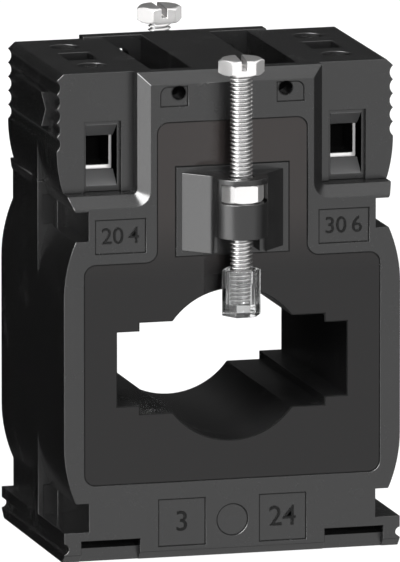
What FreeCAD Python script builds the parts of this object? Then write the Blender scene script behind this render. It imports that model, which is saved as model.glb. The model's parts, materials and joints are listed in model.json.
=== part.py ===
# Window-type current transformer for a round cable or flat bars, with a screw clamp on the
# front and one on the rear, and four lift-type screw terminals in two ribbed blocks.
# Lengths are millimetres. X runs across the front, Y from front to rear and Z up.
# The origin is the middle of the housing's underside.

import math
import os
import FreeCAD, Part
from FreeCAD import Vector

# Housing
housing_depth = 43.0
front_wall = 2.2
side_wall = 1.8
window_wall = 1.6
foot_height = 5.4
lower_notch_height = 4.95
upper_notch_height = 5.1
ledge_height = 2.5
notch_inset = 4.4
shoulder_drop = 2.1
side_arc_radius = 25.0
flange_depth = 3.6
flange_field_depth = 0.5
flange_rim = 1.05
flange_root = 0.9
lip_height = 1.5
lip_thickness = 0.8
lip_clearance = 0.05
lip_root = 2.5

# Ribbed grip on the sides
rib_pitch = 2.46
rib_count = 5
rib_groove_depth = 0.6
rib_top_chamfer = 1.15
rib_top_inset = 1.25
foot_groove_z = 2.55
foot_groove_height = 1.75
foot_groove_depth = 0.8

# Centre panel between the terminal blocks, and the pockets behind it
panel_width = 33.0
block_setback = 4.8
edge_chamfer = 2.0
corner_radius = 0.8
column_width = 12.3
pocket_outer_x = 13.0
pocket_floor_rise = 2.1

# Window
window_z = 33.6
window_to_roof = 30.3
cable_bore_radius = 13.3
wide_bar_slot = (41.0, 13.0)
thick_bar_slot = (33.0, 16.0)

# Recesses on the front
label_depth = 0.4
label_margin_x = 3.6
label_bottom = 13.4
label_shoulder = 52.1
label_neck_width = 26.8
label_top = 76.4
label_radius = 2.0
mark_depth = 0.3
terminal_mark_size = (9.0, 6.0)
terminal_mark_x = 19.9
terminal_mark_z = 56.9
base_mark_size = (8.4, 8.3)
base_mark_x = 9.0
base_mark_z = 6.3
round_mark_radius = 2.8
seal_hole_radius = 1.2
seal_hole_x = 9.5
seal_hole_drop = 3.5
seal_recess_size = (4.9, 3.5)
seal_recess_inner = 1.6
seal_recess_below = 2.4
seal_recess_radius = 1.4

# Sockets for clip-on feet
foot_socket_inner_x = 16.5
foot_socket_width = 10.45
foot_socket_height = 3.8
foot_tongue_height = 2.35
foot_tongue_setback = 1.65
foot_socket_depth = 14.0
base_chamfer = 1.4

# Terminal blocks
terminal_height = 21.1
block_top_drop = 0.2
terminal_inset = 8.2
cage_setback = 7.35
entry_recess_width = 6.5
entry_recess_height = 12.3
entry_recess_depth = 1.0
funnel_width = 5.5
funnel_bottom = 1.0
funnel_top = 11.6
funnel_depth = 2.6
throat_bottom = 3.4
throat_top = 9.3
driver_hole_radius = 2.55
test_slot = (5.3, 7.2)
grip_pad_height = 6.0
grip_pad_length = 18.5
grip_pad_proud = 0.8
grip_pad_valley = 0.05
block_key_width = 8.0
block_key_margin = 3.7
block_key_height = 1.2
key_clearance = 0.05

# Lift clamps, their screws and the conductor bars
cage_width = 5.3
cage_depth = 6.0
cage_floor_thickness = 0.9
cage_wall_thickness = 0.5
cage_top_thickness = 1.2
cage_clearance = 0.25
cage_travel = 3.5
wire_space = 5.35
bar_thickness = 1.6
bar_side_gap = 0.2
bar_setback = 0.1
web_thickness = 1.0
terminal_screw_radius = 1.5
terminal_head_radius = 2.4
terminal_head_height = 2.0
terminal_slot = (0.8, 1.0)
thread_clearance = 0.05
seat_clearance = 0.05

# Window clamps
bracket_width = 20.0
bracket_height = 15.5
bracket_above_roof = 4.6
bracket_rim = 1.0
bracket_base = 1.8
bracket_clearance = 0.05
seat_pad_thickness = 1.6
ramp_fillet = 2.0
boss_radius = 4.65
boss_wall = 0.95
boss_reach = 5.6
boss_underside = 4.1
cheek_reach = 3.9
nut_pocket_bottom = 10.2
nut_pocket_clearance = 0.05
clamp_screw_radius = 2.0
clamp_screw_length = 40.0
clamp_bore_clearance = 0.25
hex_width = 7.0
head_height = 2.8
head_slot = (1.0, 1.7)
front_head_turn = -6.0
nut_height = 3.2
head_above_top = 0.3
cap_width = 6.0
cap_height = 8.0
cap_mouth_radius = 2.3
cap_mouth_depth = 2.2
cap_floor = 2.0

# Core, covers and winding
core_end_clearance = 1.7
core_side_clearance = 0.05
core_gap = 0.3
core_band = 3.9
core_inner_radius = 8.0
cover_wall = 0.5
winding_length = 26.0
winding_build = 1.5
lead_strip = (1.2, 0.6)
lead_bend_radius = 1.5
lead_clearance = 0.25

# Sizes that follow from the ones above
half_depth = housing_depth / 2
core_inner_x = wide_bar_slot[0] / 2 + window_wall + core_gap + cover_wall
core_inner_z = cable_bore_radius + window_wall + core_gap + winding_build + cover_wall
core_depth = 2 * (half_depth - front_wall - seat_pad_thickness - core_end_clearance
                  - winding_build - cover_wall)
half_width = (core_inner_x + core_band + cover_wall + core_side_clearance + lip_thickness
              + lip_clearance + side_wall)
body_height = window_z + window_to_roof
housing_height = body_height + terminal_height
ledge_bottom = body_height - ledge_height
bulge_bottom = foot_height + lower_notch_height
bulge_top = ledge_bottom - upper_notch_height
notch_x = half_width - notch_inset
shoulder_x = half_width - shoulder_drop
cavity_floor = foot_socket_height + side_wall
block_top = housing_height - block_top_drop
rib_bottom = block_top - rib_top_chamfer - rib_count * rib_pitch
terminal_x = half_width - terminal_inset
terminal_y = half_depth - block_setback - cage_setback
screw_y = half_depth + boss_reach
bracket_bottom = body_height + bracket_above_roof - bracket_height
cage_bottom = body_height + throat_bottom - cage_clearance
bar_bottom = cage_bottom + cage_floor_thickness + wire_space
bar_top = bar_bottom + bar_thickness
cage_top = bar_top + cage_clearance + cage_top_thickness
web_bottom = cage_top + cage_travel + cage_clearance
web_top = web_bottom + web_thickness
bar_half_width = cage_width / 2 - cage_wall_thickness - bar_side_gap
bar_half_length = terminal_y + cage_depth / 2 - bar_setback
seam_turn = 37.0


def line(a, b):
    return Part.LineSegment(a, b).toShape()


def arc(a, middle, b):
    return Part.Arc(a, middle, b).toShape()


def outline(points, y):
    """Closed wire at depth y. Each point is (x, z), (x, z, corner radius) or (x, z, (x, z)):
    the last form reaches the point by an arc through the place given."""
    edges = []
    count = len(points)
    starts = []
    for i in range(count):
        x, z = points[i][:2]
        extra = points[i][2] if len(points[i]) > 2 else 0.0
        here = Vector(x, y, z)
        if isinstance(extra, tuple) or not extra:
            starts.append((here, here, None))
            continue
        before = Vector(points[i - 1][0], y, points[i - 1][1])
        after = Vector(points[(i + 1) % count][0], y, points[(i + 1) % count][1])
        towards = (before - here).normalize()
        away = (after - here).normalize()
        half_angle = towards.getAngle(away) / 2
        reach = extra / math.tan(half_angle)
        bisector = (towards + away).normalize()
        centre = here + bisector * (extra / math.sin(half_angle))
        starts.append((here + towards * reach, here + away * reach, centre - bisector * extra))
    for i in range(count):
        arrive, leave, middle = starts[i]
        previous = starts[i - 1][1]
        extra = points[i][2] if len(points[i]) > 2 else 0.0
        if isinstance(extra, tuple):
            edges.append(arc(previous, Vector(extra[0], y, extra[1]), arrive))
        elif previous.distanceToPoint(arrive) > 1e-7:
            edges.append(line(previous, arrive))
        if middle is not None:
            edges.append(arc(arrive, middle, leave))
    return Part.Wire(edges)


def whole(right):
    """Right half of an outline, from bottom to top, carried on down the left side."""
    left = []
    for i in reversed(range(len(right))):
        x, z = right[i][:2]
        above = right[i + 1][2:] if i + 1 < len(right) else ()
        own = right[i][2:]
        if above and isinstance(above[0], tuple):
            left.append((-x, z, (-above[0][0], above[0][1])))
        elif own and not isinstance(own[0], tuple):
            left.append((-x, z, own[0]))
        else:
            left.append((-x, z))
    return right + left


def prism(points, y_from, y_to):
    return Part.Face(outline(points, y_from)).extrude(Vector(0, y_to - y_from, 0))


def box(x_from, x_to, y_from, y_to, z_from, z_to):
    corner = Vector(x_from, y_from, z_from)
    return Part.makeBox(x_to - x_from, y_to - y_from, z_to - z_from, corner)


def cylinder_z(radius, x, y, z_from, z_to):
    """Upright cylinder whose seam is turned clear of the faces that it meets."""
    rod = Part.makeCylinder(radius, z_to - z_from, Vector(x, y, z_from))
    return rod.rotate(Vector(x, y, z_from), Vector(0, 0, 1), seam_turn)


def cylinder_y(radius, x, z, y_from, y_to):
    rod = Part.makeCylinder(radius, y_to - y_from, Vector(x, y_from, z), Vector(0, 1, 0))
    return rod.rotate(Vector(x, y_from, z), Vector(0, 1, 0), seam_turn)


def plan_prism(points, z_from, z_to):
    """Upright bar whose outline is drawn from above, as X and the distance to the front."""
    return prism(points, z_from, z_to).rotate(Vector(0, 0, 0), Vector(1, 0, 0), 90)


def hex_bar(width, x, y, z_from, z_to, turn=0.0):
    """Hexagonal bar with flats to the front and rear, or turned by some degrees."""
    reach = width / 2 / math.cos(math.pi / 6)
    corners = []
    for i in range(7):
        angle = math.radians(60 * i + turn)
        corners.append(Vector(x + reach * math.cos(angle), y + reach * math.sin(angle), z_from))
    return Part.Face(Part.makePolygon(corners)).extrude(Vector(0, 0, z_to - z_from))


def mirror_x(shape):
    return shape.mirror(Vector(0, 0, 0), Vector(1, 0, 0))


def mirror_y(shape):
    return shape.mirror(Vector(0, 0, 0), Vector(0, 1, 0))


def both_sides(shape):
    return shape.fuse(mirror_x(shape))


def fuse_all(shapes):
    return shapes[0].multiFuse(shapes[1:]).removeSplitter()


def upper_side_x(z):
    """X of the side below the ribs, where the grip curves in towards the notch."""
    below = rib_bottom - z
    return half_width - side_arc_radius + math.sqrt(side_arc_radius ** 2 - below ** 2)


def upper_arc_to(z_from, z_to):
    """Outline point on the side curve, reached from z_from by its arc."""
    middle = (z_from + z_to) / 2
    return (upper_side_x(z_to), z_to, (upper_side_x(middle), middle))


def window_prism(grow, y_from, y_to):
    """Round cable hole with the two bar slots across it, grown on every side."""
    pieces = [cylinder_y(cable_bore_radius + grow, 0, window_z, y_from, y_to)]
    for width, height in (wide_bar_slot, thick_bar_slot):
        x = width / 2 + grow
        z = height / 2 + grow
        pieces.append(box(-x, x, y_from, y_to, window_z - z, window_z + z))
    return fuse_all(pieces)


def foot_outline():
    low = foot_groove_z - foot_groove_height / 2
    high = foot_groove_z + foot_groove_height / 2
    return [
        (half_width, 0.0),
        (half_width, low),
        (half_width, high, (half_width - foot_groove_depth, foot_groove_z)),
        (half_width, foot_height),
    ]


def bulge_outline(inset):
    """Side bulge over the core, or its inner wall when inset by the wall's thickness."""
    x = half_width - inset
    radius = side_arc_radius - inset
    bottom = bulge_bottom + inset
    top = bulge_top - inset
    rise = math.sqrt(2 * radius * shoulder_drop - shoulder_drop ** 2)
    half_rise = rise / 2
    half_drop = radius - math.sqrt(radius ** 2 - half_rise ** 2)
    return [
        (x - shoulder_drop, bottom),
        (x, bottom + rise, (x - half_drop, bottom + half_rise)),
        (x, top - rise),
        (x - shoulder_drop, top, (x - half_drop, top - half_rise)),
    ]


def room(side_x, inset, y_from, y_to):
    """Inner outline of a half shell with walls at side_x, drawn in by inset all round."""
    trunk = box(inset - side_x, side_x - inset, y_from, y_to,
                cavity_floor + inset, body_height - side_wall - inset)
    return trunk.fuse(prism(whole(bulge_outline(side_wall + inset)), y_from, y_to))


def cavity(side_x):
    """Hollow of a half shell, with the tube round the window and the clamp's seat left in."""
    front = front_wall - half_depth
    hollow = room(side_x, 0.0, front, 0).cut(window_prism(window_wall, front, 0))
    return hollow.cut(seat_pad()).removeSplitter()


def locating_lip():
    """Rim of the rear half that enters the front half, and its root in the rear wall."""
    front_side = notch_x - side_wall
    hole = room(front_side, lip_clearance + lip_thickness, -lip_height, lip_root)
    lip = room(front_side, lip_clearance, -lip_height, 0)
    root = room(shoulder_x - side_wall, 0.0, 0, lip_root)
    return lip.fuse(root).cut(hole)


def chamfered_front():
    """Upper part of the front plate: the ledges under the blocks and the centre panel between
    them, with one sloping edge that turns the inner corners."""
    front = -half_depth
    panel_x = panel_width / 2
    plate = prism(whole([
        (upper_side_x(ledge_bottom), ledge_bottom),
        upper_arc_to(ledge_bottom, body_height),
        (panel_x, body_height, corner_radius),
        (panel_x, housing_height),
    ]), front, front + block_setback)
    edges = [e for e in plate.Edges
             if all(v.Y < front + 0.001 and v.Z > body_height - 0.001 for v in e.Vertexes)]
    return plate.makeChamfer(edge_chamfer, edges)


def foot_sockets():
    """Slots in the base that take the hooks of clip-on feet."""
    x = foot_socket_inner_x
    outer = x + foot_socket_width
    front = -half_depth
    tongue = front + foot_tongue_setback
    mouth = box(x, outer, front, tongue, 0, foot_socket_height)
    slot = box(x, outer, tongue, front + foot_socket_depth, foot_tongue_height, foot_socket_height)
    return both_sides(mouth.fuse(slot))


def base_edges():
    """Bevels on the base's front edge, between and outside the foot sockets."""
    wedge = Part.Face(Part.makePolygon([
        Vector(0, -half_depth, 0),
        Vector(0, -half_depth + base_chamfer, 0),
        Vector(0, -half_depth, base_chamfer),
        Vector(0, -half_depth, 0),
    ]))
    inner = foot_socket_inner_x
    outer = inner + foot_socket_width
    middle = wedge.extrude(Vector(inner, 0, 0))
    end = wedge.extrude(Vector(half_width - outer, 0, 0)).translate(Vector(outer, 0, 0))
    return both_sides(middle.fuse(end))


def seal_holes():
    z = housing_height - seal_hole_drop
    hole = cylinder_y(seal_hole_radius, seal_hole_x, z, -half_depth, -half_depth + block_setback)
    left = seal_hole_x - seal_recess_inner
    right = left + seal_recess_size[0]
    bottom = z - seal_recess_below
    top = bottom + seal_recess_size[1]
    recess = prism([
        (left, bottom), (right, bottom), (right, top, seal_recess_radius), (left, top),
    ], -half_depth, -half_depth + mark_depth)
    return both_sides(hole.fuse(recess))


def label_recess():
    """Field for the rating plate, in the shape of a wide T standing on its head."""
    x = half_width - label_margin_x
    neck = label_neck_width / 2
    r = label_radius
    return prism([
        (-x, label_bottom, r), (x, label_bottom, r), (x, label_shoulder, r),
        (neck, label_shoulder, r), (neck, label_top, r), (-neck, label_top, r),
        (-neck, label_shoulder, r), (-x, label_shoulder, r),
    ], -half_depth, -half_depth + label_depth)


def mark_recesses():
    """Shallow fields beside the clamp and along the base."""
    front = -half_depth
    back = front + mark_depth
    fields = []
    for size, x, z in ((terminal_mark_size, terminal_mark_x, terminal_mark_z),
                       (base_mark_size, base_mark_x, base_mark_z)):
        wide = size[0] / 2
        high = size[1] / 2
        fields.append(both_sides(box(x - wide, x + wide, front, back, z - high, z + high)))
    fields.append(cylinder_y(round_mark_radius, 0, base_mark_z, front, back))
    return fuse_all(fields)


def block_key(clearance):
    """Foot of the right terminal block, let into the roof of the housing."""
    x = block_key_width / 2 + clearance
    y = half_depth - block_setback - block_key_margin + clearance
    return box(terminal_x - x, terminal_x + x, -y, y, body_height - block_key_height, body_height)


def lead_slot(z_from, z_to):
    """Way for the flat lead, with its clearance all round."""
    width, thickness = lead_strip
    x = thickness / 2 + lead_clearance
    y = width / 2 + lead_clearance
    return box(terminal_x - x, terminal_x + x, -y, y, z_from, z_to)


def bracket_seat():
    """Recess that the clamp bracket's base lies in."""
    x = bracket_width / 2 + bracket_clearance
    low = bracket_bottom - bracket_clearance
    high = bracket_bottom + bracket_height + bracket_clearance
    return box(-x, x, -half_depth, -half_depth + bracket_base, low, high)


def seat_pad():
    """Thicker wall behind the clamp bracket."""
    x = bracket_width / 2 + side_wall
    front = -half_depth + front_wall
    low = bracket_bottom - side_wall
    return box(-x, x, front, front + seat_pad_thickness, low, body_height - side_wall)


def shell_cuts():
    """What both half shells have cut out of them, on the front side."""
    roof = both_sides(block_key(key_clearance).fuse(lead_slot(ledge_bottom - side_wall, body_height)))
    return [foot_sockets(), base_edges(), seal_holes(), bracket_seat(), roof,
            window_prism(0.0, -half_depth, 0.0)]


def pocket_column():
    """Floor and middle column of the open pockets behind the centre panel."""
    y = -half_depth + block_setback
    floor = box(-pocket_outer_x, pocket_outer_x, y, 0, body_height - side_wall,
                body_height + pocket_floor_rise)
    column = box(-column_width / 2, column_width / 2, y, 0, body_height, housing_height)
    return floor.fuse(column)


def half_shell(side_x):
    """Front half of the housing with the notches' walls at side_x."""
    front = -half_depth
    body = [
        box(-side_x, side_x, front, 0, 0, body_height - edge_chamfer),
        prism(whole(foot_outline()), front, 0),
        prism(whole(bulge_outline(0.0)), front, 0),
        prism(whole([
            (upper_side_x(ledge_bottom), ledge_bottom),
            upper_arc_to(ledge_bottom, body_height),
        ]), front + block_setback, 0),
        chamfered_front(),
        pocket_column(),
    ]
    return fuse_all(body)


def flange_fields():
    """Shallow fields in the flange's front, between its rim and the notch's wall."""
    back = -flange_depth + flange_field_depth
    inner = notch_x + flange_root
    outer = half_width - flange_rim
    lower = box(inner, outer, -flange_depth, back, foot_height, bulge_bottom)
    upper = box(inner, outer, -flange_depth, back, bulge_top, ledge_bottom)
    return both_sides(lower.fuse(upper))


def front_housing():
    shell = half_shell(notch_x)
    flange = box(-half_width, half_width, -flange_depth, 0, foot_height - side_wall, body_height)
    shell = shell.fuse(flange)
    fields = [flange_fields(), label_recess(), mark_recesses()]
    for cutter in [cavity(notch_x - side_wall)] + fields + shell_cuts():
        shell = shell.cut(cutter)
    return shell.removeSplitter()


def rear_housing():
    """Rear half, made facing the front and then turned over, with its lip added."""
    shell = half_shell(shoulder_x)
    for cutter in [cavity(shoulder_x - side_wall)] + shell_cuts():
        shell = shell.cut(cutter)
    holes = both_sides(lead_slot(ledge_bottom - side_wall, body_height))
    return mirror_y(shell).fuse(locating_lip()).cut(holes).removeSplitter()


def rib_points():
    """Side of a terminal block from its foot up to its top edge."""
    points = [(upper_side_x(body_height), body_height), upper_arc_to(body_height, rib_bottom)]
    for i in range(rib_count):
        low = rib_bottom + i * rib_pitch
        points.append((half_width, low + rib_pitch,
                       (half_width - rib_groove_depth, low + rib_pitch / 2)))
    points.append((half_width - rib_top_inset, block_top))
    return points


def wire_entry(side):
    """Recess, funnel and throat for one wire, on the front (side -1) or the rear (side 1)."""
    face = side * (half_depth - block_setback)
    floor = face - side * entry_recess_depth
    throat = floor - side * funnel_depth
    cage_front = side * (terminal_y + cage_depth / 2 + cage_clearance)
    wide = entry_recess_width / 2
    narrow = funnel_width / 2
    recess = box(terminal_x - wide, terminal_x + wide, min(face, floor), max(face, floor),
                 body_height, body_height + entry_recess_height)
    sides = [
        Vector(terminal_x - narrow, floor, body_height + funnel_bottom),
        Vector(terminal_x - narrow, throat, body_height + throat_bottom),
        Vector(terminal_x - narrow, throat, body_height + throat_top),
        Vector(terminal_x - narrow, floor, body_height + funnel_top),
    ]
    slope = Part.Face(Part.makePolygon(sides + sides[:1]))
    funnel = slope.extrude(Vector(2 * narrow, 0, 0))
    passage = box(terminal_x - narrow, terminal_x + narrow, min(throat, cage_front),
                  max(throat, cage_front), body_height + throat_bottom, body_height + throat_top)
    return fuse_all([recess, funnel, passage])


def terminal_room(side):
    """Chamber for one lift clamp, with the hole for its screw and the driver."""
    y = side * terminal_y
    wide = cage_width / 2 + cage_clearance
    deep = cage_depth / 2 + cage_clearance
    chamber = box(terminal_x - wide, terminal_x + wide, y - deep, y + deep,
                  cage_bottom - cage_clearance, web_bottom)
    shank = cylinder_z(terminal_screw_radius + 4 * thread_clearance, terminal_x, y,
                       web_bottom, web_top)
    driver = cylinder_z(driver_hole_radius, terminal_x, y, web_top, block_top)
    return fuse_all([chamber, shank, driver])


def right_terminal_block():
    y = half_depth - block_setback
    body = prism([(pocket_outer_x, body_height)] + rib_points()
                 + [(pocket_outer_x, block_top)], -y, y)
    pad_z = (rib_bottom + rib_count * rib_pitch + rib_bottom) / 2
    half_pad = grip_pad_height / 2
    root = half_width - rib_groove_depth
    proud = half_width + grip_pad_proud
    valley = half_width + grip_pad_valley
    pad = prism([(root, pad_z - half_pad), (proud, pad_z - half_pad), (valley, pad_z),
                 (proud, pad_z + half_pad), (root, pad_z + half_pad)],
                -grip_pad_length / 2, grip_pad_length / 2)
    flange = box(terminal_x, half_width, -flange_depth, 0, body_height, rib_bottom)
    block = fuse_all([body, pad, flange, block_key(0.0)])
    slot_x = test_slot[0] / 2
    slot_y = test_slot[1] / 2
    tools = [
        box(terminal_x - slot_x, terminal_x + slot_x, -slot_y, slot_y, bar_top, block_top),
        box(terminal_x - bar_half_width, terminal_x + bar_half_width,
            -bar_half_length, bar_half_length, bar_bottom, bar_top),
        lead_slot(body_height - block_key_height, bar_bottom),
    ]
    for side in (-1, 1):
        tools.append(wire_entry(side))
        tools.append(terminal_room(side))
    for tool in tools:
        block = block.cut(tool)
    return block.removeSplitter()


def terminal_bar():
    return box(terminal_x - bar_half_width, terminal_x + bar_half_width,
               -bar_half_length, bar_half_length, bar_bottom, bar_top)


def terminal_cage(side):
    """Folded strip round the bar: floor, two walls and a threaded top that closes square."""
    y = side * terminal_y
    wide = cage_width / 2
    deep = cage_depth / 2
    strip = box(terminal_x - wide, terminal_x + wide, y - deep, y + deep, cage_bottom, cage_top)
    bends = [e for e in strip.Edges
             if abs(e.Vertexes[0].Y - e.Vertexes[1].Y) > deep and e.Vertexes[0].Z < bar_bottom]
    strip = strip.makeFillet(cage_wall_thickness, bends)
    hollow = box(terminal_x - wide + cage_wall_thickness, terminal_x + wide - cage_wall_thickness,
                 y - deep, y + deep, cage_bottom + cage_floor_thickness,
                 cage_top - cage_top_thickness)
    thread = cylinder_z(terminal_screw_radius + thread_clearance, terminal_x, y,
                        cage_top - cage_top_thickness, cage_top)
    return strip.cut(hollow).cut(thread).removeSplitter()


def terminal_screw(side):
    y = side * terminal_y
    head_bottom = web_top + seat_clearance
    head_top = head_bottom + terminal_head_height
    shank = cylinder_z(terminal_screw_radius, terminal_x, y, bar_top + seat_clearance, head_bottom)
    head = cylinder_z(terminal_head_radius, terminal_x, y, head_bottom, head_top)
    width, depth = terminal_slot
    slot = box(terminal_x - terminal_head_radius, terminal_x + terminal_head_radius,
               y - width / 2, y + width / 2, head_top - depth, head_top)
    return shank.fuse(head).cut(slot).removeSplitter()


def clamp_bracket():
    """Base let into the front wall, two ramps and the boss that holds the nut."""
    face = -half_depth
    axis_y = face - boss_reach
    x = bracket_width / 2
    top = bracket_bottom + bracket_height
    base = box(-x, x, face, face + bracket_base, bracket_bottom, top)
    inner_x = x - bracket_rim
    low = bracket_bottom + bracket_rim
    high = top - bracket_rim
    boss_bottom = bracket_bottom + boss_underside
    hump = plan_prism(whole([
        (inner_x, half_depth),
        (boss_radius, half_depth + inner_x - boss_radius, ramp_fillet),
        (boss_radius, screw_y),
    ]), low, high)
    barrel = cylinder_z(boss_radius, 0, axis_y, low, high)
    bracket = fuse_all([base, hump, barrel])
    cheek_y = face - cheek_reach
    front = axis_y - boss_radius
    below = box(-boss_radius, boss_radius, front, cheek_y, low, boss_bottom)
    hollow_x = boss_radius - boss_wall
    hollow = box(-hollow_x, hollow_x, cheek_y, face, low, boss_bottom)
    pocket_x = hex_width / 2 / math.cos(math.pi / 6) + nut_pocket_clearance
    pocket_z = bracket_bottom + nut_pocket_bottom
    back = axis_y + hex_width / 2 + nut_pocket_clearance
    nut_pocket = box(-pocket_x, pocket_x, front, back, pocket_z,
                     pocket_z + nut_height + 2 * nut_pocket_clearance)
    bore = cylinder_z(clamp_screw_radius + clamp_bore_clearance, 0, axis_y, low, high)
    for tool in (below, hollow, nut_pocket, bore):
        bracket = bracket.cut(tool)
    return bracket.removeSplitter()


def clamp_nut():
    y = -screw_y
    bottom = bracket_bottom + nut_pocket_bottom + nut_pocket_clearance
    nut = hex_bar(hex_width, 0, y, bottom, bottom + nut_height)
    return nut.cut(cylinder_z(clamp_screw_radius + thread_clearance, 0, y, bottom,
                              bottom + nut_height))


def clamp_screw(turn):
    y = -screw_y
    head_bottom = housing_height + head_above_top
    head_top = head_bottom + head_height
    tip = head_bottom - clamp_screw_length
    shank = cylinder_z(clamp_screw_radius, 0, y, tip, head_bottom)
    head = hex_bar(hex_width, 0, y, head_bottom, head_top, turn)
    width, depth = head_slot
    slot = box(-width / 2, width / 2, y - hex_width, y + hex_width, head_top - depth, head_top)
    slot.rotate(Vector(0, y, 0), Vector(0, 0, 1), turn)
    return fuse_all([shank, head]).cut(slot)


def screw_cap():
    """Clear cap on the tip of the clamp screw, which keeps it off the conductor."""
    y = -screw_y
    tip = housing_height + head_above_top - clamp_screw_length
    bottom = tip - cap_floor
    top = bottom + cap_height
    cap = hex_bar(cap_width, 0, y, bottom, top)
    snug = cylinder_z(clamp_screw_radius + thread_clearance, 0, y, tip, top)
    mouth = cylinder_z(cap_mouth_radius, 0, y, top - cap_mouth_depth, top)
    return cap.cut(snug).cut(mouth).removeSplitter()


def core_loop(inset, radius, y_from, y_to):
    """Oblong bar round the window, outside the core's inner face by the inset."""
    x = core_inner_x + inset
    z = core_inner_z + inset
    return prism([
        (-x, window_z - z, radius), (x, window_z - z, radius),
        (x, window_z + z, radius), (-x, window_z + z, radius),
    ], y_from, y_to)


def core():
    """Strip wound into an oblong ring."""
    half = core_depth / 2
    outer = core_loop(core_band, core_inner_radius + core_band, -half, half)
    return outer.cut(core_loop(0.0, core_inner_radius, -half, half))


def tray_hole(inset, corner, y_from, y_to):
    """Oblong bar inside the core's ring, with its corners cut off straight."""
    x = core_inner_x + inset
    z = core_inner_z + inset
    quarter = [(x - corner, -z), (x, corner - z), (x, z - corner), (x - corner, z)]
    return prism([(px, window_z + pz) for px, pz in whole(quarter)], y_from, y_to)


def core_cover():
    """Insulating tray over the front half of the core. Its inner corners span the rounding."""
    front = -core_depth / 2
    wall = cover_wall
    corner = core_inner_radius
    inner_corner = corner - wall * (2 - math.sqrt(2))
    outside = core_loop(core_band + wall, corner + core_band + wall, front - wall, 0)
    outside = outside.cut(tray_hole(-wall, inner_corner, front - wall, 0))
    inside = core_loop(core_band, corner + core_band, front, 0)
    return outside.cut(inside.cut(tray_hole(0.0, corner, front, 0)))


def winding():
    """Turns round the upper and the lower limb, each a closed sleeve over the covered core."""
    x = winding_length / 2
    deep = core_depth / 2 + cover_wall
    near = core_inner_z - cover_wall
    far = core_inner_z + core_band + cover_wall
    build = winding_build
    sleeves = []
    for side in (-1, 1):
        low = min(side * near, side * far) + window_z
        high = max(side * near, side * far) + window_z
        outside = box(-x, x, -deep - build, deep + build, low - build, high + build)
        along = [e for e in outside.Edges if abs(e.Vertexes[0].X - e.Vertexes[1].X) > x]
        outside = outside.makeChamfer(build / 2, along)
        sleeves.append(outside.cut(box(-x, x, -deep, deep, low, high)))
    return Part.makeCompound(sleeves)


def winding_top():
    return window_z + core_inner_z + core_band + cover_wall + winding_build


def winding_lead():
    """Copper strip from the end of the upper winding to the underside of the conductor bar."""
    width, thickness = lead_strip
    start = winding_length / 2
    middle = winding_top() - winding_build / 2
    low = middle - thickness / 2
    high = middle + thickness / 2
    outer = terminal_x + thickness / 2
    inner = terminal_x - thickness / 2
    return prism([
        (start, low), (outer, low, lead_bend_radius + thickness), (outer, bar_bottom),
        (inner, bar_bottom), (inner, high, lead_bend_radius), (start, high),
    ], -width / 2, width / 2)


def write(name, shape):
    shape.exportStep(os.path.join("parts", name + ".step"))
    box_ = shape.BoundBox
    print("%-28s %2d solids  %9.2f mm3  %6.2f x %6.2f x %6.2f  valid %s" % (
        name, len(shape.Solids), shape.Volume, box_.XLength, box_.YLength, box_.ZLength,
        shape.isValid()))


def main():
    os.makedirs("parts", exist_ok=True)
    block = right_terminal_block()
    bracket = clamp_bracket()
    nut = clamp_nut()
    cap = screw_cap()
    cover = core_cover()
    lead = winding_lead()
    bar = terminal_bar()
    write("front_housing", front_housing())
    write("rear_housing", rear_housing())
    write("right_terminal_block", block)
    write("left_terminal_block", mirror_x(block))
    write("right_terminal_bar", bar)
    write("left_terminal_bar", mirror_x(bar))
    for side, end in ((-1, "front"), (1, "rear")):
        cage = terminal_cage(side)
        screw = terminal_screw(side)
        write(end + "_right_cage", cage)
        write(end + "_left_cage", mirror_x(cage))
        write(end + "_right_terminal_screw", screw)
        write(end + "_left_terminal_screw", mirror_x(screw))
    write("front_clamp_bracket", bracket)
    write("rear_clamp_bracket", mirror_y(bracket))
    write("front_clamp_nut", nut)
    write("rear_clamp_nut", mirror_y(nut))
    write("front_clamp_screw", clamp_screw(front_head_turn))
    write("rear_clamp_screw", mirror_y(clamp_screw(0.0)))
    write("front_screw_cap", cap)
    write("rear_screw_cap", mirror_y(cap))
    write("core", core())
    write("front_core_cover", cover)
    write("rear_core_cover", mirror_y(cover))
    write("secondary_winding", winding())
    write("right_winding_lead", lead)
    write("left_winding_lead", mirror_x(lead))


main()
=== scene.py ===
import json
import math

import bmesh
import bpy
from mathutils import Matrix, Vector


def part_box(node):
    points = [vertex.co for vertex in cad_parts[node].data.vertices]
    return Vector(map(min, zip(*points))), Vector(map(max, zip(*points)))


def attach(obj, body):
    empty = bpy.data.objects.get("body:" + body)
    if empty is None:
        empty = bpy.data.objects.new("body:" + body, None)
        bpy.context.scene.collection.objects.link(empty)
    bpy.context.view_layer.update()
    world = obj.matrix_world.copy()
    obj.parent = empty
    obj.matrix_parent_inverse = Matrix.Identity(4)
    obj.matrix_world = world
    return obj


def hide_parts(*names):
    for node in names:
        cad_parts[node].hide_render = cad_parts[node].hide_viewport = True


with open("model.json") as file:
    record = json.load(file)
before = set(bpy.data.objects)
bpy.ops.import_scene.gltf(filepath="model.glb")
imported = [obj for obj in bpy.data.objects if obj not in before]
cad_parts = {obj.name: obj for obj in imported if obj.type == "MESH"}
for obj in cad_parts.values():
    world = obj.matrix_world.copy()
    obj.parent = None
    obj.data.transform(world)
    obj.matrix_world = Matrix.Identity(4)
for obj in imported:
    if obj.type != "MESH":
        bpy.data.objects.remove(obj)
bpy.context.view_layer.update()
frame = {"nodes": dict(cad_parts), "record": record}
print("frame loaded:", len(frame["nodes"]), "nodes")

mm = 0.001
ends = ("front", "rear")


# Camera

camera = {
    "lens": 1200.0,
    "sensor": 36.0,
    "azimuth": -15.17,     # degrees, seen from the front left
    "elevation": 10.82,
    "distance": 3.244,
    "target": (0.0, 0.0, 0.04421),
    "clip": (0.5, 10.0),
}


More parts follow.
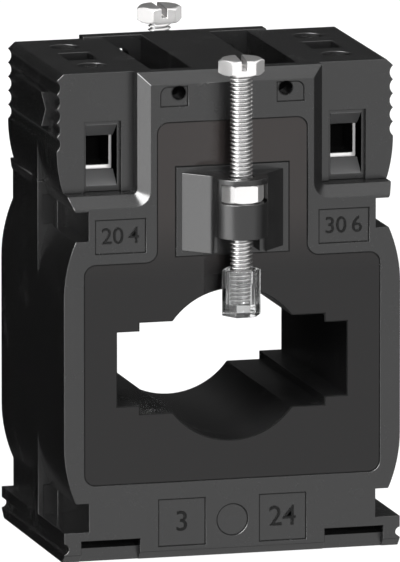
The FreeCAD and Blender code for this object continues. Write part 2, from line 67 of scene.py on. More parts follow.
# From the object towards an azimuth and an elevation in degrees
def outward(azimuth, elevation):
    turn = math.radians(azimuth)
    tilt = math.radians(elevation)
    level = math.cos(tilt)
    return Vector((math.sin(turn) * level, -math.cos(turn) * level, math.sin(tilt)))


def makeCamera(spec):
    data = bpy.data.cameras.new("camera")
    data.lens = spec["lens"]
    data.sensor_width = spec["sensor"]
    data.clip_start, data.clip_end = spec["clip"]
    obj = bpy.data.objects.new("camera", data)
    bpy.context.scene.collection.objects.link(obj)
    back = outward(spec["azimuth"], spec["elevation"])
    obj.location = Vector(spec["target"]) + back * spec["distance"]
    obj.rotation_euler = back.to_track_quat("Z", "Y").to_euler()
    bpy.context.scene.camera = obj


makeCamera(camera)
print("camera placed")


# Socket maths for materials: one output socket with the usual operators

class Sock:
    def __init__(self, tree, out):
        self.tree = tree
        self.out = out

    def maths(self, operation, *values):
        return self.tree.add("ShaderNodeMath", {"operation": operation}, *values)

    def __add__(self, other):
        return self.maths("ADD", self, other)

    def __radd__(self, other):
        return self.maths("ADD", other, self)

    def __sub__(self, other):
        return self.maths("SUBTRACT", self, other)

    def __rsub__(self, other):
        return self.maths("SUBTRACT", other, self)

    def __mul__(self, other):
        return self.maths("MULTIPLY", self, other)

    def __rmul__(self, other):
        return self.maths("MULTIPLY", other, self)

    def __truediv__(self, other):
        return self.maths("DIVIDE", self, other)

    def __gt__(self, other):
        return self.maths("GREATER_THAN", self, other)

    def __lt__(self, other):
        return self.maths("LESS_THAN", self, other)

    def __abs__(self):
        return self.maths("ABSOLUTE", self)


# A node tree with one method that adds any node: settings first, then its sockets
class Tree:
    def __init__(self, owner):
        owner.use_nodes = True
        self.nodes = owner.node_tree.nodes
        self.links = owner.node_tree.links
        self.nodes.clear()

    def add(self, kind, settings, *values, output=0, **named):
        node = self.nodes.new(kind)
        for key, value in settings.items():
            if key == "stops":
                ramp = node.color_ramp
                for i, (place, colour) in enumerate(value):
                    stop = ramp.elements[i] if i < 2 else ramp.elements.new(place)
                    stop.position = place
                    stop.color = (*colour, 1.0)
            elif key == "interpolation":
                node.color_ramp.interpolation = value
            else:
                setattr(node, key, value)
        for i, value in enumerate(values):
            self.plug(node.inputs[i], value)
        for key, value in named.items():
            self.plug(node.inputs[key.replace("_", " ")], value)
        self.last = node
        return Sock(self, node.outputs[output]) if node.outputs else None

    def plug(self, target, value):
        if isinstance(value, Sock):
            self.links.new(value.out, target)
        else:
            target.default_value = value


def objectPlace(tree):
    return tree.add("ShaderNodeTexCoord", {}, output=3)


def axesOf(tree, place):
    tree.add("ShaderNodeSeparateXYZ", {}, place)
    node = tree.last
    return [Sock(tree, node.outputs[i]) for i in range(3)]


def noise(tree, place, scale, detail=3.0, roughness=0.5):
    return tree.add("ShaderNodeTexNoise", {}, place, Scale=scale, Detail=detail,
                    Roughness=roughness)


def blendColour(tree, factor, first, second):
    tree.add("ShaderNodeMix", {"data_type": "RGBA"})
    node = tree.last
    tree.plug(node.inputs[0], factor)
    tree.plug(node.inputs[6], first)
    tree.plug(node.inputs[7], second)
    return Sock(tree, node.outputs[2])


def opaque(colour):
    return colour + (1.0,)


def finishMaterial(tree, surface):
    tree.add("ShaderNodeOutputMaterial", {}, surface)


# Materials

plasticLook = {
    "colour": (0.0125, 0.0125, 0.0127),
    "colourWorn": (0.0155, 0.0155, 0.0157),
    "roughness": 0.26,
    "roughnessSpread": 0.05,
    "ior": 1.5,
    "chamberShade": (0.002, 0.002, 0.002),    # painted shade inside the wire chambers, laid as a near-black matt surface
    "funnelPaintedLight": (0.080, 0.080, 0.081),     # painted light: the funnel's slopes made pale in place of the light they reflect
    "grainScale": 9000.0,
    "grainHeight": 0.000004,
    "grainStrength": 0.6,
    "cloudScale": 90.0,
}
wireEntry = {
    "x": 21.8,             # middle of each terminal
    "z": 70.25,
    # half width, then from and to along y, then from and to above or below the middle
    "chamber": (3.1, 3.6, 15.6, -0.1, 7.6),
    "funnel": (2.7, 13.05, 15.75, 2.95, 5.35),
    "cage": (3.1, 0.0, 12.25, -0.1, 7.6),
}


# 1 inside the named part of the four wire entries
def entryMask(tree, place, part):
    x, y, z = axesOf(tree, place)
    across = abs(abs(x) - wireEntry["x"] * mm)
    along = abs(y)
    up = abs(z - wireEntry["z"] * mm)
    wide, near, deep, low, high = (v * mm for v in wireEntry[part])
    return (across < wide) * (along > near) * (along < deep) * (up > low) * (up < high)


def housingPlastic(name, look):
    material = bpy.data.materials.new(name)
    tree = Tree(material)
    place = objectPlace(tree)
    cloud = noise(tree, place, look["cloudScale"], 4.0)
    grain = noise(tree, place, look["grainScale"], 2.0, 0.6)
    chamber = entryMask(tree, place, "chamber")
    funnel = entryMask(tree, place, "funnel")
    colour = blendColour(tree, cloud, opaque(look["colour"]), opaque(look["colourWorn"]))
    # painted light on the funnel slopes of the wire entries
    colour = blendColour(tree, funnel, colour, opaque(look["funnelPaintedLight"]))
    spread = look["roughnessSpread"]
    rough = look["roughness"] + (cloud - 0.5) * spread + (grain - 0.5) * spread
    bump = tree.add("ShaderNodeBump", {}, Height=grain, Distance=look["grainHeight"],
                    Strength=look["grainStrength"])
    glossy = tree.add("ShaderNodeBsdfPrincipled", {}, Base_Color=colour, Roughness=rough,
                      IOR=look["ior"], Normal=bump)
    # painted shade: a near-black matt surface inside the wire chambers, where shade falls
    shadeMatt = tree.add("ShaderNodeBsdfDiffuse", {}, opaque(look["chamberShade"]))
    surface = tree.add("ShaderNodeMixShader", {}, chamber * (1.0 - funnel), glossy, shadeMatt)
    finishMaterial(tree, surface)
    return material


clampScrew = {
    "axisY": 27.1,         # of both screws, in front of the middle and behind it
    "radius": 2.0,
    "rootRadius": 1.56,
    "pitch": 0.7,
    # how far up each pitch the flank's corners lie, and on which radius
    "flanks": ((0, "radius"), (1 / 8, "radius"), (7 / 16, "rootRadius"), (11 / 16, "rootRadius")),
    "steps": 36,
    "headHeight": 2.8,
    "headFlat": 3.3,       # radius within which the head's faces stay flat
    "tipChamfer": 0.6,
    "edge": 0.08,
    "edgeSegments": 2,
    "edgeAngle": 35.0,
    "smoothAngle": 40.0,
    "overlap": 0.3,        # of the thread's end with the head
    "trim": 0.002,         # cut above the head's underside, to stay clear of it
}
threadLook = {
    "root": 1.60,          # radius up to which the grooves get the full painted shade
    "crest": 1.92,
    "outside": 2.1,        # just past the shank
    "top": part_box("front_clamp_screw")[1].z - clampScrew["headHeight"] * mm,
}


# The clamp screws' shanks, and how deep in a groove of their threads, for the painted shade in
# the grooves
def threadMasks(tree, place, spec):
    x, y, z = axesOf(tree, place)
    aside = abs(y) - clampScrew["axisY"] * mm
    radius = x.maths("SQRT", x * x + aside * aside)
    grooves = tree.add("ShaderNodeMapRange", {}, radius, spec["root"] * mm, spec["crest"] * mm,
                       1.0, 0.0)
    return (radius < spec["outside"] * mm) * (z < spec["top"]), grooves


metalLook = {
    "zinc": {
        "colour": (0.82, 0.81, 0.80),
        "worn": (0.75, 0.74, 0.74),
        "roughness": 0.17,
        "scale": 260.0,
        "metallic": 0.5,
        "shankMetallic": 0.8,
        # painted shade in the grooves of the clamp screws' threads
        "threadGrooveShade": (0.36, 0.36, 0.36),
        "unlit": (0.03, 0.03, 0.03),       # painted shade inside the cages
    },
    "nickel": {
        "colour": (0.66, 0.62, 0.54),
        "worn": (0.58, 0.54, 0.46),
        "roughness": 0.25,
        "scale": 300.0,
        "metallic": 1.0,
    },
    "strip": {
        "colour": (0.30, 0.31, 0.33),
        "worn": (0.20, 0.21, 0.22),
        "roughness": 0.35,
        "scale": 700.0,
        "metallic": 1.0,
    },
}
metalGrain = {
    "finer": 12.0,         # times the scale of the clouds
    "cloudSpread": 0.12,
    "grainSpread": 0.06,
    "height": 0.000002,
    "strength": 0.5,
}


def brightMetal(name, look, grain):
    material = bpy.data.materials.new(name)
    tree = Tree(material)
    place = objectPlace(tree)
    cloud = noise(tree, place, look["scale"], 5.0, 0.6)
    fine = noise(tree, place, look["scale"] * grain["finer"], 3.0, 0.6)
    colour = blendColour(tree, cloud, opaque(look["colour"]), opaque(look["worn"]))
    metallic = look["metallic"]
    if "threadGrooveShade" in look:
        shank, grooves = threadMasks(tree, place, threadLook)
        inside = entryMask(tree, place, "cage")
        # painted shade darkening the thread's grooves
        colour = blendColour(tree, shank * grooves, colour, opaque(look["threadGrooveShade"]))
        # painted shade inside the cages
        colour = blendColour(tree, inside, colour, opaque(look["unlit"]))
        metallic = metallic + shank * (look["shankMetallic"] - metallic)
    rough = (look["roughness"] + (cloud - 0.5) * grain["cloudSpread"]
             + (fine - 0.5) * grain["grainSpread"])
    bump = tree.add("ShaderNodeBump", {}, Height=fine, Distance=grain["height"],
                    Strength=grain["strength"])
    surface = tree.add("ShaderNodeBsdfPrincipled", {}, Base_Color=colour, Metallic=metallic,
                       Roughness=rough, Normal=bump)
    finishMaterial(tree, surface)
    return material


labelLook = {
    "foot": (0.0075, 0.0068, 0.0070),      # painted light and shade: darker towards the base, lighter towards the neck
    "neck": (0.0310, 0.0265, 0.0255),
    "footZ": 0.048,
    "neckZ": 0.062,
    "roughness": 0.06,
    "cloudSpread": 0.04,
    "grainSpread": 0.02,
    "ior": 1.355,
    "cloudScale": 60.0,
    "grainScale": 5000.0,
    "grainHeight": 0.0000005,
    "grainStrength": 0.2,
}


def labelFilm(name, look):
    material = bpy.data.materials.new(name)
    tree = Tree(material)
    place = objectPlace(tree)
    height = axesOf(tree, place)[2]
    cloud = noise(tree, place, look["cloudScale"], 3.0)
    grain = noise(tree, place, look["grainScale"], 2.0)
    rise = tree.add("ShaderNodeMapRange", {"interpolation_type": "SMOOTHSTEP"}, height,
                    look["footZ"], look["neckZ"])
    # painted light and shade along the film's height
    colour = blendColour(tree, rise, opaque(look["foot"]), opaque(look["neck"]))
    rough = (look["roughness"] + (cloud - 0.5) * look["cloudSpread"]
             + (grain - 0.5) * look["grainSpread"])
    bump = tree.add("ShaderNodeBump", {}, Height=grain, Distance=look["grainHeight"],
                    Strength=look["grainStrength"])
    surface = tree.add("ShaderNodeBsdfPrincipled", {}, Base_Color=colour, Roughness=rough,
                       IOR=look["ior"], Normal=bump)
    finishMaterial(tree, surface)
    return material


clearLook = {
    "colour": (0.93, 0.94, 0.94),
    "roughness": 0.02,
    "ior": 1.49,
    "flowScale": 700.0,    # unevenness from the mould
    "flowHeight": 0.000002,
    "flowStrength": 0.3,
}


def clearPlastic(name, look):
    material = bpy.data.materials.new(name)
    tree = Tree(material)
    place = objectPlace(tree)
    flow = noise(tree, place, look["flowScale"], 2.0)
    rough = look["roughness"] + (flow - 0.5) * look["roughness"]
    bump = tree.add("ShaderNodeBump", {}, Height=flow, Distance=look["flowHeight"],
                    Strength=look["flowStrength"])
    surface = tree.add("ShaderNodeBsdfPrincipled", {}, Base_Color=opaque(look["colour"]),
                       Roughness=rough, IOR=look["ior"], Transmission_Weight=1.0, Normal=bump)
    finishMaterial(tree, surface)
    return material


coverLook = {
    "colour": (0.60, 0.56, 0.44),
    "worn": (0.66, 0.62, 0.50),
    "cloudScale": 120.0,
    "roughness": 0.4,
    "roughnessSpread": 0.1,
}


def coverPlastic(name, look):
    material = bpy.data.materials.new(name)
    tree = Tree(material)
    place = objectPlace(tree)
    cloud = noise(tree, place, look["cloudScale"], 4.0)
    colour = blendColour(tree, cloud, opaque(look["colour"]), opaque(look["worn"]))
    rough = look["roughness"] + cloud * look["roughnessSpread"]
    surface = tree.add("ShaderNodeBsdfPrincipled", {}, Base_Color=colour, Roughness=rough)
    finishMaterial(tree, surface)
    return material


copperLook = {
    "colour": (0.55, 0.22, 0.09),
    "worn": (0.42, 0.15, 0.05),
    "roughness": 0.3,
    "roughnessSpread": 0.1,
    "metallic": 0.9,
    "cloudScale": 500.0,
    "turnScale": 310.0,    # turns of wire side by side along x
    "turnHeight": 0.0002,
}


def woundCopper(name, look):
    material = bpy.data.materials.new(name)
    tree = Tree(material)
    place = objectPlace(tree)
    wave = tree.add("ShaderNodeTexWave", {"bands_direction": "X", "wave_profile": "SIN"}, place,
                    Scale=look["turnScale"], Distortion=0.0)
    cloud = noise(tree, place, look["cloudScale"], 3.0)
    colour = blendColour(tree, wave, opaque(look["worn"]), opaque(look["colour"]))
    rough = look["roughness"] + (cloud - 0.5) * look["roughnessSpread"]
    bump = tree.add("ShaderNodeBump", {}, Height=wave, Distance=look["turnHeight"], Strength=1.0)
    surface = tree.add("ShaderNodeBsdfPrincipled", {}, Base_Color=colour,
                       Metallic=look["metallic"], Roughness=rough, Normal=bump)
    finishMaterial(tree, surface)
    return material


markLook = {
    "colour": (0.010, 0.010, 0.010),
    "worn": (0.020, 0.020, 0.020),
    "roughness": 0.55,
    "roughnessSpread": 0.1,
    "ior": 1.16,           # hardly any gloss
    "grainScale": 4000.0,
    "grainHeight": 0.000004,
    "grainStrength": 0.5,
}


# Matt black of the raised digits, and of the painted shadow strips round the fields
def mattBlack(name, look):
    material = bpy.data.materials.new(name)
    tree = Tree(material)
    place = objectPlace(tree)
    grain = noise(tree, place, look["grainScale"], 3.0, 0.6)
    colour = blendColour(tree, grain, opaque(look["colour"]), opaque(look["worn"]))
    rough = look["roughness"] + (grain - 0.5) * look["roughnessSpread"]
    bump = tree.add("ShaderNodeBump", {}, Height=grain, Distance=look["grainHeight"],
                    Strength=look["grainStrength"])
    surface = tree.add("ShaderNodeBsdfPrincipled", {}, Base_Color=colour, IOR=look["ior"],
                       Roughness=rough, Normal=bump)
    finishMaterial(tree, surface)
    return material


materials = {
    "mark": mattBlack("mattBlack", markLook),
    "housing_plastic": housingPlastic("housingPlastic", plasticLook),
    "zinc_steel": brightMetal("zincSteel", metalLook["zinc"], metalGrain),
    "nickel_brass": brightMetal("nickelBrass", metalLook["nickel"], metalGrain),
    "core_steel": brightMetal("coreStrip", metalLook["strip"], metalGrain),
    "copper_winding": woundCopper("woundCopper", copperLook),
    "clear_plastic": clearPlastic("clearPlastic", clearLook),
    "cover_plastic": coverPlastic("coverPlastic", coverLook),
    "label": labelFilm("labelFilm", labelLook),
}
print("materials made:", len(materials))


# Dressing the CAD pieces

def dress(obj, material):
    obj.data.materials.clear()
    obj.data.materials.append(material)


slotOf = {row["node"]: row["material_slot"] for row in frame["record"]["subparts"]}
bodyOf = {node: body
          for body, nodes in frame["record"]["behaviour"]["bodies"].items()
          for node in nodes}
for node, obj in frame["nodes"].items():
    dress(obj, materials[slotOf[node]])


meshing = {
    "weld": 1e-6,          # metres within which points are one
    "fineWeld": 1e-7,
    "flatAngle": 0.4,      # degrees under which faces are one plane
    "smoothAngle": 35.0,   # degrees over which an edge shades sharp
    "edgeAngle": 30.0,     # degrees over which an edge is rounded
    "parting": 0.01,       # nearer to the parting plane than this, no edge is rounded
}


# Shades the mesh smooth up to the angle and makes it an object
def link(name, bm, smoothAngle=meshing["smoothAngle"]):
    limit = math.radians(smoothAngle)
    for face in bm.faces:
        face.smooth = True
    for edge in bm.edges:
        edge.smooth = len(edge.link_faces) == 2 and edge.calc_face_angle(0.0) < limit
    mesh = bpy.data.meshes.new(name)
    bm.to_mesh(mesh)
    bm.free()
    obj = bpy.data.objects.new(name, mesh)
    bpy.context.scene.collection.objects.link(obj)
    return obj


# The node's solid as a clean mesh, with flat faces whole
def mergedCopy(node):
    bm = bmesh.new()
    bm.from_mesh(frame["nodes"][node].data)
    bmesh.ops.remove_doubles(bm, verts=bm.verts, dist=meshing["weld"])
    bmesh.ops.dissolve_limit(bm, angle_limit=math.radians(meshing["flatAngle"]), verts=bm.verts,
                             edges=bm.edges, use_dissolve_boundaries=False)
    return bm


# Edges that turn by more than the angle, apart from those on the parting plane
def sharpEdges(bm, degrees):
    limit = math.radians(degrees)
    parting = meshing["parting"] * mm
    return [e for e in bm.edges
            if len(e.link_faces) == 2 and e.calc_face_angle(0.0) > limit
            and max(abs(v.co.y) for v in e.verts) > parting]


# Rounds the outer edges; inner corners stay sharp, as the mould leaves them
def roundEdges(bm, width, segments, degrees=meshing["edgeAngle"], lowest=0.0):
    outer = [e for e in sharpEdges(bm, degrees)
             if e.is_convex and max(v.co.z for v in e.verts) > lowest]
    bmesh.ops.bevel(bm, geom=outer, offset=width, offset_type="OFFSET", affect="EDGES",
                    segments=segments, profile=0.5, material=-1, clamp_overlap=False)


# Welds points to a corner that lies nearer than the rounding is wide
def settleCorners(bm, reach):
    sharp = set(sharpEdges(bm, meshing["edgeAngle"]))
    count = {v: sum(e in sharp for e in v.link_edges) for v in bm.verts}
    target = {}
    for edge in bm.edges:
        if edge.calc_length() < reach:
            corner, other = sorted(edge.verts, key=lambda v: -count[v])
            if count[corner] > 2 and count[other] < 3 and corner not in target:
                target[other] = corner
    bmesh.ops.weld_verts(bm, targetmap=target)


rounding = {
    "segments": 3,
    "reach": 1.5,          # times the width, for points that are welded to a corner
}
roundings = {              # width, and the height below which edges stay sharp
    "front_housing": (0.14, 0.0),
    "rear_housing": (0.14, 0.0),
    "left_terminal_block": (0.12, 0.0),
    "right_terminal_block": (0.12, 0.0),
    "front_clamp_bracket": (0.12, 54.1),
    "rear_clamp_bracket": (0.12, 54.1),
}


# Puts the piece in the node's place; flat faces keep flat shading beside rounded edges
def replaceNode(piece, node):
    modifier = piece.modifiers.new("evenShading", "WEIGHTED_NORMAL")
    modifier.mode = "FACE_AREA"
    modifier.weight = 100
    modifier.keep_sharp = True
    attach(piece, bodyOf[node])
    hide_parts(node)
    dress(piece, materials[slotOf[node]])


def makeMoulding(node, width, lowest):
    bm = mergedCopy(node)
    settleCorners(bm, width * rounding["reach"])
    roundEdges(bm, width, rounding["segments"], lowest=lowest)
    replaceNode(link(node + "_moulding", bm), node)


for node, (width, lowest) in roundings.items():
    makeMoulding(node, width * mm, lowest * mm)
print("mouldings rounded:", len(roundings))


# Removes what lies beyond the plane and closes the cut
def cutAway(bm, point, beyond):
    everything = bm.verts[:] + bm.edges[:] + bm.faces[:]
    cut = bmesh.ops.bisect_plane(bm, geom=everything, dist=meshing["fineWeld"], plane_co=point,
                                 plane_no=beyond, clear_outer=True)
    rim = [e for e in cut["geom_cut"] if isinstance(e, bmesh.types.BMEdge) and e.is_boundary]
    if rim:
        bmesh.ops.holes_fill(bm, edges=rim, sides=0)


turning = {
    "slope": 30.0,         # degrees, as on a forged nut or head
    "steps": 24,
}


# Turns down the corners of a hexagon at its upper or lower face
def turnCorners(bm, centre, flat, face, up):
    slope = math.radians(turning["slope"])
    for i in range(turning["steps"]):
        angle = 2 * math.pi * i / turning["steps"]
        out = Vector((math.cos(angle), math.sin(angle), 0.0))
        touch = Vector((centre[0], centre[1], face)) + out * flat
        cutAway(bm, touch, out * math.sin(slope) + Vector((0, 0, up * math.cos(slope))))


# Clamp screws, nuts and caps

# Shank with its thread: a zigzag turned once round while it climbs by one pitch
def screwThread(centre, low, high, spec):
    pitch = spec["pitch"] * mm
    crest = spec["radius"] * mm
    bm = bmesh.new()
    turns = int((high - low) / pitch) + 3      # some to spare, cut off below
    places = []
    for i in range(turns):
        start = low - 1.5 * pitch + i * pitch
        places += [(spec[radius] * mm, start + pitch * share) for share, radius in spec["flanks"]]
    places.append((crest, places[0][1] + turns * pitch))
    line = [bm.verts.new((centre[0] + radius, centre[1], z)) for radius, z in places]
    for first, second in zip(line, line[1:]):
        bm.edges.new((first, second))
    bmesh.ops.spin(bm, geom=bm.verts[:] + bm.edges[:], cent=(*centre, 0.0), axis=(0, 0, 1),
                   dvec=(0, 0, pitch / spec["steps"]), angle=2 * math.pi, steps=spec["steps"],
                   use_merge=False)
    bmesh.ops.remove_doubles(bm, verts=bm.verts, dist=meshing["fineWeld"])
    cutAway(bm, (0, 0, low), (0, 0, -1))
    cutAway(bm, (0, 0, high), (0, 0, 1))
    blunt = crest - spec["tipChamfer"] * mm
    for vert in bm.verts:
        across = Vector((vert.co.x - centre[0], vert.co.y - centre[1]))
        allowed = blunt + (vert.co.z - low)
        if across.length > allowed:
            across *= allowed / across.length
            vert.co.x = centre[0] + across.x
            vert.co.y = centre[1] + across.y
    bmesh.ops.recalc_face_normals(bm, faces=bm.faces)
    return bm


def axisOf(low, high):
    return (low.x + high.x) / 2, (low.y + high.y) / 2


def makeClampScrew(end, spec):
    node = end + "_clamp_screw"
    low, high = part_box(node)
    centre = axisOf(low, high)
    under = high.z - spec["headHeight"] * mm
    head = mergedCopy(node)
    cutAway(head, (0, 0, under + spec["trim"] * mm), (0, 0, -1))
    turnCorners(head, centre, spec["headFlat"] * mm, high.z, 1)
    turnCorners(head, centre, spec["headFlat"] * mm, under, -1)
    roundEdges(head, spec["edge"] * mm, spec["edgeSegments"], spec["edgeAngle"])
    thread = screwThread(centre, low.z, under + spec["overlap"] * mm, spec)
    joined = bpy.data.meshes.new("thread")
    thread.to_mesh(joined)
    thread.free()
    head.from_mesh(joined)
    bpy.data.meshes.remove(joined)
    piece = link(node + "_threaded", head, spec["smoothAngle"])
    replaceNode(piece, node)
    piece.visible_glossy = end == "front"      # the rear one would glare in the polished top


clampNut = {
    "flat": 3.5,           # radius within which its faces stay flat
    "edge": 0.05,
    "edgeSegments": 2,
    "edgeAngle": 40.0,
    "smoothAngle": 25.0,
}


def makeClampNut(end, spec):
    node = end + "_clamp_nut"
    low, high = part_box(node)
    centre = axisOf(low, high)
    bm = mergedCopy(node)
    turnCorners(bm, centre, spec["flat"] * mm, high.z, 1)
    turnCorners(bm, centre, spec["flat"] * mm, low.z, -1)
    roundEdges(bm, spec["edge"] * mm, spec["edgeSegments"], spec["edgeAngle"])
    replaceNode(link(node + "_forged", bm, spec["smoothAngle"]), node)


screwCap = {
    "edge": 0.18,
    "edgeSegments": 3,
    "edgeAngle": 35.0,
    "smoothAngle": 30.0,
}


def makeScrewCap(end, spec):
    node = end + "_screw_cap"
    bm = mergedCopy(node)
    roundEdges(bm, spec["edge"] * mm, spec["edgeSegments"], spec["edgeAngle"])
    replaceNode(link(node + "_moulded", bm, spec["smoothAngle"]), node)


for end in ends:
    makeClampScrew(end, clampScrew)
    makeClampNut(end, clampNut)
    makeScrewCap(end, screwCap)
print("clamp screws threaded, nuts and caps made")


# Terminal metal

terminalMetal = {
    "nodes": ("_cage", "_terminal_screw", "_terminal_bar"),
    "edge": 0.08,
    "edgeSegments": 1,
    "edgeAngle": 35.0,
}


def makeTerminalMetal(node, spec):
    bm = mergedCopy(node)
    roundEdges(bm, spec["edge"] * mm, spec["edgeSegments"], spec["edgeAngle"])
    replaceNode(link(node + "_dressed", bm), node)


for node in frame["nodes"]:
    if node.endswith(terminalMetal["nodes"]):
        makeTerminalMetal(node, terminalMetal)
print("terminal metal dressed")


# Label field

ratingPlate = {
    "recessDepth": 0.4,
    "thickness": 0.12,
    "margin": 0.17,
}
fieldShadowLine = {              # painted shadow: a thin dark strip round a recessed field's floor, for the shade of its walls
    "width": 0.16,
    "thickness": 0.03,
}
recess = {
    "facing": -0.99,       # how squarely a floor faces the front
    "tolerance": 0.02,
    "clearance": 0.01,     # between a floor and the film on it
}


# The floor of every recess that is this deep in the front
def recessFloor(depth):
    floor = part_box("front_housing")[0].y + depth * mm
    tolerance = recess["tolerance"] * mm
    bm = mergedCopy("front_housing")
    others = [f for f in bm.faces
              if f.normal.y > recess["facing"]
              or abs(f.calc_center_median().y - floor) > tolerance]
    bmesh.ops.delete(bm, geom=others, context="FACES")
    return bm


# A piece that rides with the housing and has its slot
def rideHousing(piece, material):
    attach(piece, "housing")
    dress(piece, materials[material])


def layFilm(name, bm, thickness, material):
    bmesh.ops.translate(bm, verts=bm.verts, vec=(0, -recess["clearance"] * mm, 0))
    raised = bmesh.ops.extrude_face_region(bm, geom=bm.faces[:], use_keep_orig=True)
    top = [v for v in raised["geom"] if isinstance(v, bmesh.types.BMVert)]
    bmesh.ops.translate(bm, verts=top, vec=(0, -thickness * mm, 0))
    bmesh.ops.recalc_face_normals(bm, faces=bm.faces)
    rideHousing(link(name, bm), material)


# Bare film in the label recess, cut round the window and the clamp
def makeRatingPlate(spec):
    bm = recessFloor(spec["recessDepth"])
    ring = bmesh.ops.inset_region(bm, faces=bm.faces, thickness=spec["margin"] * mm,
                                  use_boundary=True, use_even_offset=True)
    bmesh.ops.delete(bm, geom=ring["faces"], context="FACES")
    layFilm("rating_plate", bm, spec["thickness"], "label")


# Painted shadow: a dark strip along the border of a recess floor
def makeShadowLine(name, depth, spec):
    bm = recessFloor(depth)
    inner = bm.faces[:]
    bmesh.ops.inset_region(bm, faces=inner, thickness=spec["width"] * mm, use_boundary=True,
                           use_even_offset=True)
    bmesh.ops.delete(bm, geom=inner, context="FACES")
    layFilm(name, bm, spec["thickness"], "mark")


makeRatingPlate(ratingPlate)
makeShadowLine("label_field_shadow_line", ratingPlate["recessDepth"], fieldShadowLine)
print("label field covered")


# Plain numbers in the marking fields

marks = {
    "proud": 0.16,
    "bolder": 0.01,
    "digitShare": 0.72,    # of the font's size that a digit is high
    "wordSpace": 0.7,
    "fields": {            # text, height of a digit, x and z of the field's middle
        "terminal_mark_left": ("20 4", 2.9, -19.9, 56.9),
        "terminal_mark_right": ("30 6", 2.9, 19.9, 56.9),
        "base_mark_left": ("3", 3.6, -9.0, 6.3),
        "base_mark_right": ("24", 3.6, 9.0, 6.3),
    },
    "fieldDepth": 0.3,
}


def makeMark(name, number, height, x, z, spec):
    curve = bpy.data.curves.new(name, "FONT")
    curve.body = number
    curve.align_x = "CENTER"
    curve.align_y = "CENTER"
    curve.size = height * mm / spec["digitShare"]
    curve.extrude = spec["proud"] * mm
    curve.offset = spec["bolder"] * mm
    curve.space_word = spec["wordSpace"]
    text = bpy.data.objects.new(name, curve)
    bpy.context.scene.collection.objects.link(text)
    bpy.context.view_layer.update()
    mesh = bpy.data.meshes.new_from_object(text)
    bpy.data.objects.remove(text)
    bm = bmesh.new()
    bm.from_mesh(mesh)
    bpy.data.meshes.remove(mesh)
    bmesh.ops.remove_doubles(bm, verts=bm.verts, dist=meshing["fineWeld"])
    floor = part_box("front_housing")[0].y + spec["fieldDepth"] * mm
    middle = (max(v.co.x for v in bm.verts) + min(v.co.x for v in bm.verts)) / 2
    turn = Matrix.Rotation(math.radians(90.0), 4, "X")
    bmesh.ops.translate(bm, verts=bm.verts, vec=(-middle, 0, 0))
    place = Matrix.Translation((x * mm, floor, z * mm))
    bmesh.ops.transform(bm, matrix=place @ turn, verts=bm.verts)
    rideHousing(link(name, bm), "mark")


for name, (number, height, x, z) in marks["fields"].items():
    makeMark(name, number, height, x, z, marks)
makeShadowLine("mark_field_shadow_lines", marks["fieldDepth"], fieldShadowLine)
print("marks set:", len(marks["fields"]))


# World: white to the camera, soft panels to everything glossy, a low fill to the rest

worldLook = {
    "fill": 0.02,
    "panels": [            # direction in turns (0.25 left, 0.5 front, 0.75 right), brightness
        (0.00, 0.001),
        (0.14, 0.001),
        (0.165, 1.20),
        (0.18, 1.90),
        (0.225, 1.60),
        (0.26, 4.7),
        (0.33, 4.7),
        (0.38, 1.48),
        (0.60, 1.48),
        (0.68, 0.60),
        (0.75, 0.05),
        (0.80, 0.05),
        (0.835, 1.40),
        (0.865, 0.85),
        (0.90, 0.30),
        (0.93, 0.02),
        (0.97, 0.02),
    ],
    "overhead": 1.75,
    "overheadFrom": 0.42,  # height on the unit sphere, and how fast it takes over
    "overheadRise": 2.6,
    "below": 0.8,
    "belowFrom": 0.35,
    "belowRise": 4.0,
    "softness": 0.1,
    "lampAzimuth": -60.0,  # a bright lamp high on the left, seen only as sparks on rounded edges
    "lampElevation": 42.0,
    "lampEdge": 0.85,      # cosine of the angle at which it begins
    "lampRise": 12.0,
    "lamp": 24.0,
}


# 0 to 1, with soft ends
def softStep(value, softness):
    risen = value.maths("SMOOTH_MAX", value, 0.0, softness)
    return risen.maths("SMOOTH_MIN", risen, 1.0, softness)


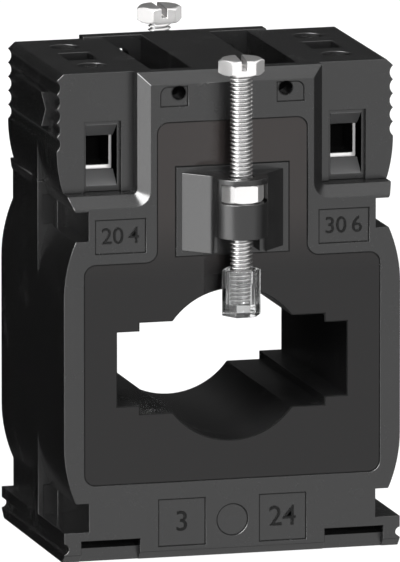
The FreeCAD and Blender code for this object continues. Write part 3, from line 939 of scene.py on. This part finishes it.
def makeWorld(look):
    world = bpy.data.worlds.new("studio")
    bpy.context.scene.world = world
    tree = Tree(world)
    direction = tree.add("ShaderNodeTexCoord", {}, output=0)
    x, y, z = axesOf(tree, direction)
    azimuth = x.maths("ARCTAN2", x, 0.0 - y) / (2 * math.pi) + 0.5
    most = max(level for _, level in look["panels"])
    stops = [(place, (level / most,) * 3) for place, level in look["panels"]]
    ramp = {"stops": stops, "interpolation": "EASE"}
    around = tree.add("ShaderNodeValToRGB", ramp, azimuth) * most
    above = softStep((z - look["overheadFrom"]) * look["overheadRise"], look["softness"])
    under = softStep((-look["belowFrom"] - z) * look["belowRise"], look["softness"])
    panels = around * (1.0 - above) + above * look["overhead"]
    panels = panels * (1.0 - under) + under * look["below"]
    towards = outward(look["lampAzimuth"], look["lampElevation"])
    near = x * towards.x + y * towards.y + z * towards.z
    lit = near.maths("MAXIMUM", (near - look["lampEdge"]) * look["lampRise"], 0.0)
    panels = panels + lit.maths("MINIMUM", lit, 1.0) * look["lamp"]
    tree.add("ShaderNodeLightPath", {})
    path = tree.last
    toCamera = Sock(tree, path.outputs["Is Camera Ray"])
    glossy = Sock(tree, path.outputs["Is Glossy Ray"])
    through = Sock(tree, path.outputs["Is Transmission Ray"])
    white = toCamera.maths("MAXIMUM", toCamera, through)
    strength = look["fill"] + glossy * (panels - look["fill"])
    strength = strength + white * (1.0 - strength)
    background = tree.add("ShaderNodeBackground", {}, (1.0, 1.0, 1.0, 1.0), strength)
    tree.add("ShaderNodeOutputWorld", {}, background)


makeWorld(worldLook)


# Lamps

lamps = {
    "key": {"azimuth": 0.0, "elevation": 12.0, "size": 0.25, "power": 8.0},
    "top": {"azimuth": 0.0, "elevation": 80.0, "size": 0.6, "power": 3.0},
    "back": {"azimuth": 140.0, "elevation": 12.0, "size": 0.6, "power": 4.0},
}
lampDistance = 0.9


def makeLamp(name, spec):
    data = bpy.data.lights.new(name, "AREA")
    data.shape = "SQUARE"
    data.size = spec["size"]
    data.energy = spec["power"]
    obj = bpy.data.objects.new(name, data)
    bpy.context.scene.collection.objects.link(obj)
    away = outward(spec["azimuth"], spec["elevation"])
    obj.location = Vector(camera["target"]) + away * lampDistance
    obj.rotation_euler = away.to_track_quat("Z", "Y").to_euler()
    obj.visible_glossy = False
    obj.visible_camera = False


for name, spec in lamps.items():
    makeLamp(name, spec)
print("lamps placed:", len(lamps))


# Floor

floorLook = {
    "reach": 2.5,
    "white": 1.26,         # how bright the unshaded floor shows
    "shadow": 0.25,        # share of the floor's light that a shadow can take away
    "paper": (0.9, 0.9, 0.9),
}


def makeFloor(look):
    bm = bmesh.new()
    bmesh.ops.create_grid(bm, x_segments=1, y_segments=1, size=look["reach"])
    floor = link("floor", bm)
    material = bpy.data.materials.new("paleFloor")
    tree = Tree(material)
    tree.add("ShaderNodeLightPath", {})
    seen = Sock(tree, tree.last.outputs["Is Camera Ray"])
    paper = tree.add("ShaderNodeBsdfDiffuse", {}, opaque(look["paper"]))
    glow = tree.add("ShaderNodeEmission", {}, (1.0, 1.0, 1.0, 1.0), look["white"])
    mixed = tree.add("ShaderNodeMixShader", {}, seen * (1.0 - look["shadow"]), paper, glow)
    finishMaterial(tree, mixed)
    dress(floor, material)
    floor.visible_glossy = False
    floor.visible_diffuse = False


makeFloor(floorLook)
print("floor laid")

bpy.context.scene.view_settings.view_transform = "Standard"
